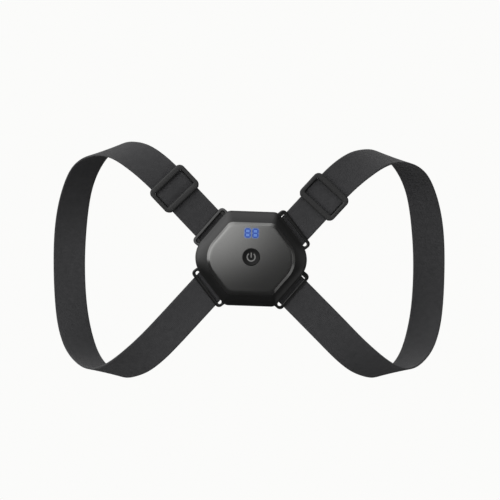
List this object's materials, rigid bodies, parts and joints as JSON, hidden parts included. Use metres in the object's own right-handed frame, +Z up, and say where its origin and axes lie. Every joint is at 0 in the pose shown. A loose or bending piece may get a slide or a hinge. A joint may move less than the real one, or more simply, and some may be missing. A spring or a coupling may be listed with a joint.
{
  "type": "posture corrector",
  "caption": "Worn posture corrector: a hexagonal module with a display and push button, and a webbing loop with slider for each shoulder.",
  "frame": {"origin": "middle of the module's flat back face, which lies on the wearer's back between the shoulder blades", "axes": "+X to the right as the module's front is seen, +Y from the module's back towards the wearer's chest, +Z up as worn"},
  "size_m": [0.3101, 0.1074, 0.1784],
  "materials": {
    "shell_plastic": "satin moulded black",
    "panel_satin": "satin gunmetal",
    "button_gloss": "gloss black",
    "symbol_print": "light grey print",
    "display_digits": "lit blue segments",
    "cover_plastic": "fine matt black",
    "webbing": "ribbed charcoal webbing",
    "slider_plastic": "matt black"
  },
  "bodies": {
    "module": {"front_shell": "shell_plastic", "face_panel": "panel_satin", "back_cover": "cover_plastic", "left_strap": "webbing", "left_slider": "slider_plastic", "right_strap": "webbing", "right_slider": "slider_plastic"},
    "power_button": {"power_button": "button_gloss"}
  },
  "joints": [
    {"name": "button_press", "type": "slide", "parent": "module", "child": "power_button", "axis": [0, 1, 0], "range_m": [0, 0.0005], "stiffness_N_per_m": 400, "springref_m": -0.0005}
  ]
}
